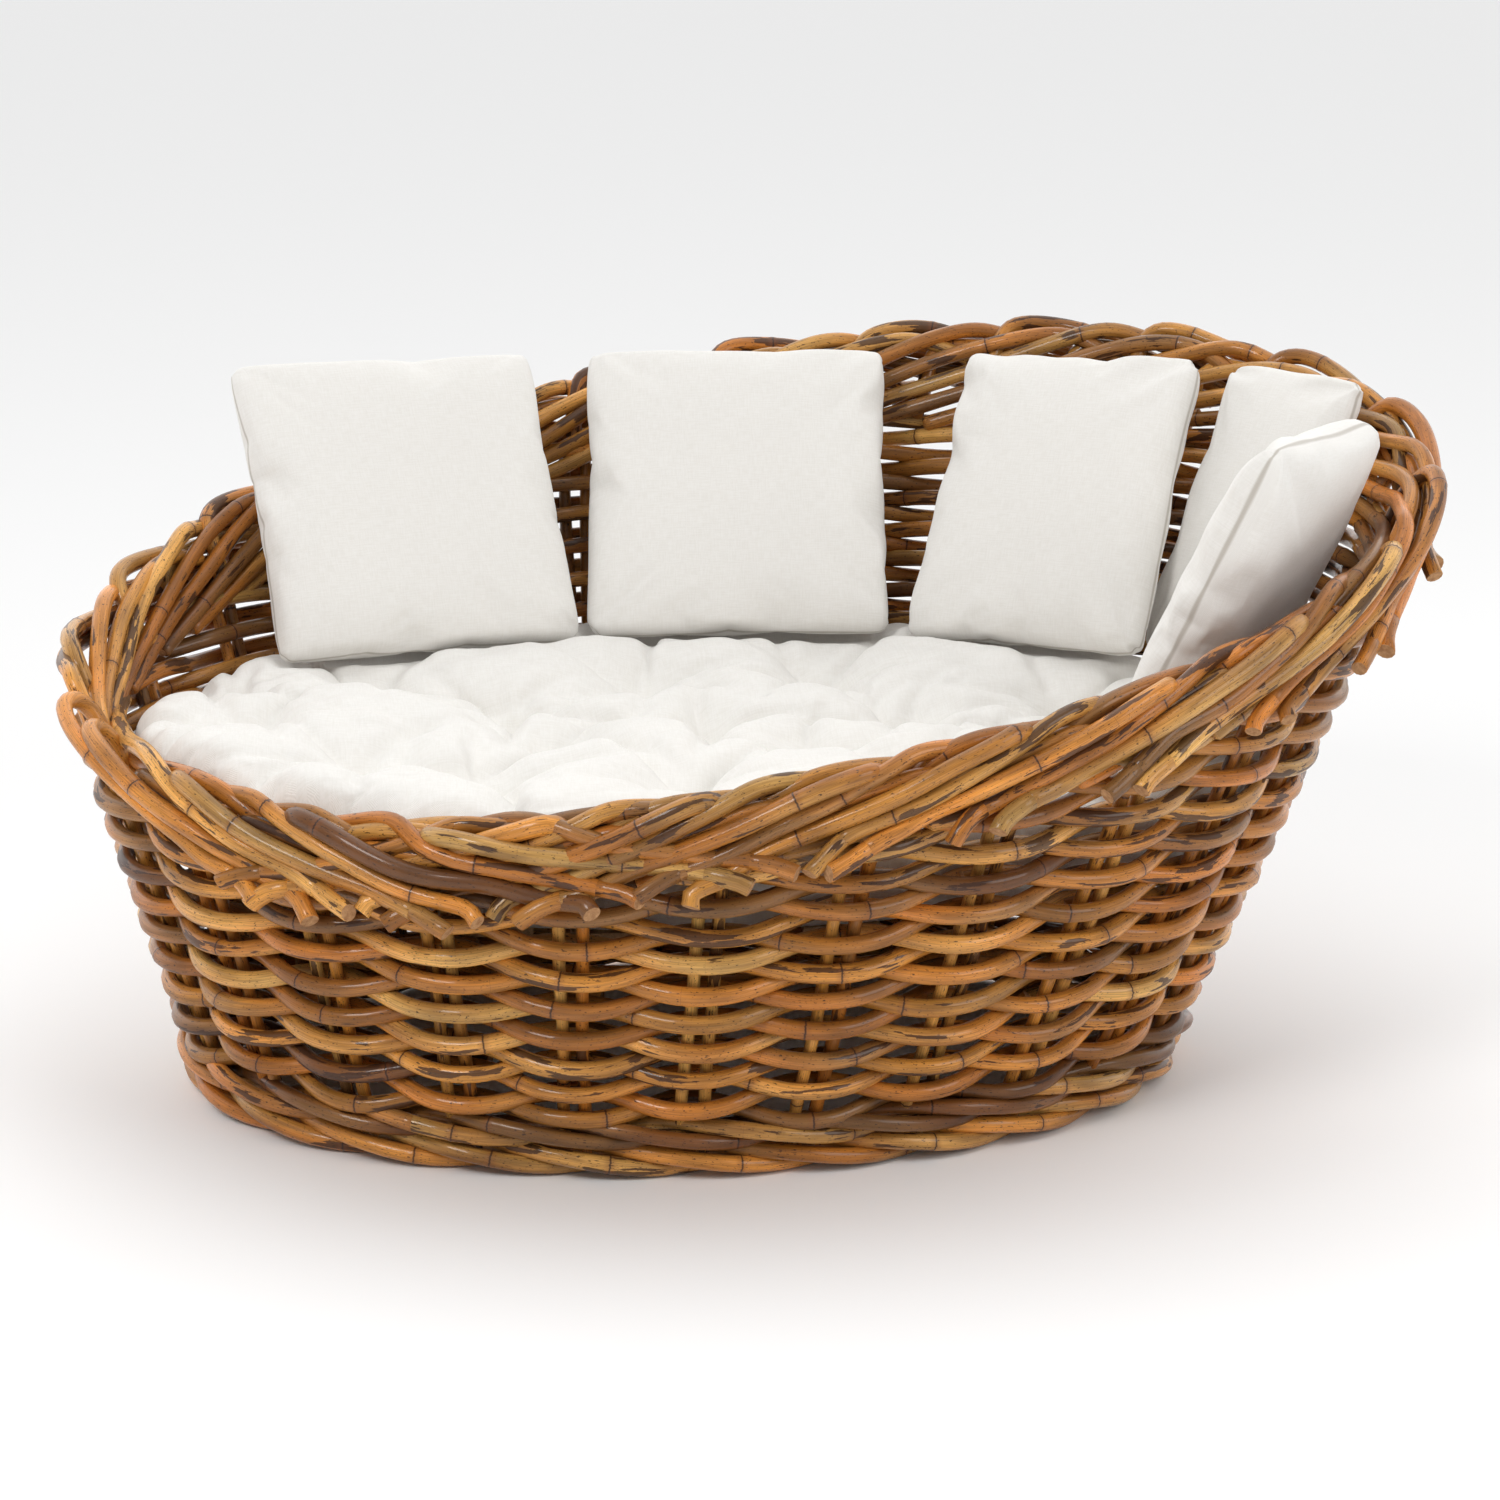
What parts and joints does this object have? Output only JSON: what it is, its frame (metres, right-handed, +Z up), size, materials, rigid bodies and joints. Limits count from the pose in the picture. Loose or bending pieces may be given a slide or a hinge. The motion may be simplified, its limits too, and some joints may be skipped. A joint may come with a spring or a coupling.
{
  "type": "pet bed basket",
  "caption": "Oval rattan pet bed: woven basket with flared wall and sloping plaited rim, slatted seat, lift-out tufted mattress and loose square pillows.",
  "frame": {"origin": "bottom centre of the whole bed's bounding box, on the surface it stands on", "axes": "+X along the oval's long axis towards the higher end, +Y towards the high back, +Z up"},
  "size_m": [1.1571, 0.85, 0.5642],
  "materials": {
    "rattan": "varnished rattan rods, honey to dark brown, half gloss",
    "slat_wood": "planed softwood slats, matt",
    "cotton_cover": "off-white cotton herringbone twill, matt",
    "fibre_filling": "white polyester fibre, matt"
  },
  "bodies": {
    "basket": {"border_ends": "rattan", "border_rods_1": "rattan", "border_rods_2": "rattan", "border_rods_3": "rattan", "foot_hoop": "rattan", "foot_wale_1": "rattan", "foot_wale_2": "rattan", "seat_bearers": "rattan", "seat_hoop": "rattan", "seat_slats": "slat_wood", "stakes_back": "rattan", "stakes_front": "rattan", "stakes_left": "rattan", "stakes_right": "rattan", "weaver_01": "rattan", "weaver_02": "rattan", "weaver_03": "rattan", "weaver_04": "rattan", "weaver_05": "rattan", "weaver_06": "rattan", "weaver_07": "rattan", "weaver_08": "rattan", "weaver_09": "rattan", "weaver_10": "rattan", "weaver_11": "rattan", "weaver_12": "rattan", "weaver_13": "rattan", "weaver_14": "rattan", "weaver_15": "rattan", "weaver_16": "rattan", "weaver_17": "rattan", "weaver_18": "rattan", "weaver_19": "rattan", "weaver_20": "rattan", "weaver_21": "rattan", "weaver_22": "rattan", "weaver_23": "rattan", "weaver_24": "rattan", "weaver_25": "rattan", "weaver_26": "rattan", "weaver_27": "rattan", "weaver_28": "rattan", "weaver_29": "rattan", "weaver_30": "rattan", "weaver_31": "rattan", "weaver_32": "rattan"},
    "mattress": {"mattress_cover": "cotton_cover", "mattress_filling": "fibre_filling"},
    "pillow_1": {"pillow_1_cover": "cotton_cover", "pillow_1_filling": "fibre_filling"},
    "pillow_2": {"pillow_2_cover": "cotton_cover", "pillow_2_filling": "fibre_filling"},
    "pillow_3": {"pillow_3_cover": "cotton_cover", "pillow_3_filling": "fibre_filling"},
    "pillow_4": {"pillow_4_cover": "cotton_cover", "pillow_4_filling": "fibre_filling"},
    "pillow_5": {"pillow_5_cover": "cotton_cover", "pillow_5_filling": "fibre_filling"}
  },
  "joints": [
    {"name": "mattress_lift", "type": "slide", "parent": "basket", "child": "mattress", "axis": [0, 0, 1], "range_m": [0, 0.35]},
    {"name": "pillow_1_lift", "type": "slide", "parent": "mattress", "child": "pillow_1", "axis": [-0.1489, 0.5398, 0.8285], "range_m": [0, 0.25]},
    {"name": "pillow_2_lift", "type": "slide", "parent": "mattress", "child": "pillow_2", "axis": [0.039, 0.5578, 0.829], "range_m": [0, 0.25]},
    {"name": "pillow_3_lift", "type": "slide", "parent": "mattress", "child": "pillow_3", "axis": [0.2629, 0.4806, 0.8366], "range_m": [0, 0.25]},
    {"name": "pillow_4_lift", "type": "slide", "parent": "mattress", "child": "pillow_4", "axis": [0.3341, 0.2406, 0.9113], "range_m": [0, 0.25]},
    {"name": "pillow_5_lift", "type": "slide", "parent": "mattress", "child": "pillow_5", "axis": [0.3847, -0.1543, 0.9101], "range_m": [0, 0.25]}
  ]
}
